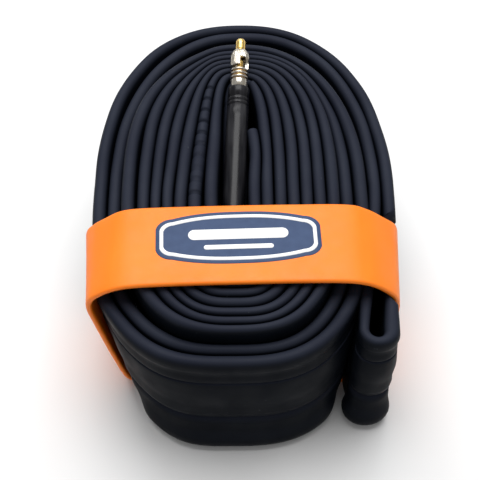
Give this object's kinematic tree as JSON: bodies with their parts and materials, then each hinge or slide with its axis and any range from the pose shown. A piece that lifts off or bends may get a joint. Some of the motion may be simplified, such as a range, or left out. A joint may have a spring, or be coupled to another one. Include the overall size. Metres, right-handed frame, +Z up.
{
  "type": "bicycle inner tube",
  "caption": "Bicycle inner tube pressed flat and rolled into an oval coil, long pin valve on top, held by an elastic band with a plain badge.",
  "frame": {"origin": "under the middle of the coil, on the surface that it lies on", "axes": "+Z up, +Y along the coil towards the valve's tip, +X across the coil, on the side of the open fold"},
  "size_m": [0.0864, 0.118, 0.0587],
  "materials": {
    "butyl": "matt butyl with a thin film of talc",
    "black_stem": "satin black",
    "nickel": "bright nickel plate",
    "brass": "turned brass",
    "seal_rubber": "matt",
    "orange_silicone": "satin silicone",
    "badge_navy": "moulded in, satin",
    "badge_white": "moulded in, satin"
  },
  "bodies": {
    "root": {"air_tube": "butyl", "valve_patch": "butyl", "valve_stem": "black_stem"},
    "gasket": {"core_seal": "seal_rubber"},
    "core": {"core_body": "nickel"},
    "pin": {"valve_pin": "brass", "pin_seal": "seal_rubber", "pin_head": "brass"},
    "nut": {"lock_nut": "nickel"},
    "band": {"band": "orange_silicone", "badge_ground": "badge_navy", "badge_border": "badge_white", "badge_bars": "badge_white"}
  },
  "joints": [
    {"name": "core_lift", "type": "slide", "parent": "root", "child": "gasket", "axis": [0.0387, 0.9624, 0.2689], "range_m": [0, 0.0026]},
    {"name": "core_turn", "type": "hinge", "parent": "gasket", "child": "core", "pos_m": [-0.0012, 0.01933, 0.05158], "axis": [0.0387, 0.9624, 0.2689], "range_deg": [0, 1800]},
    {"name": "pin_press", "type": "slide", "parent": "core", "child": "pin", "axis": [-0.0387, -0.9624, -0.2689], "range_m": [0, 0.0007]},
    {"name": "nut_turn", "type": "hinge", "parent": "pin", "child": "nut", "pos_m": [-0.00062, 0.03376, 0.05562], "axis": [0.0387, 0.9624, 0.2689], "range_deg": [-540, 0]},
    {"name": "band_slide", "type": "slide", "parent": "root", "child": "band", "axis": [0, -1, 0], "range_m": [0, 0.06]}
  ],
  "couplings": [
    {"joint": "core_lift", "follows": "core_turn", "m_per_rad": 0.000079577}
  ]
}
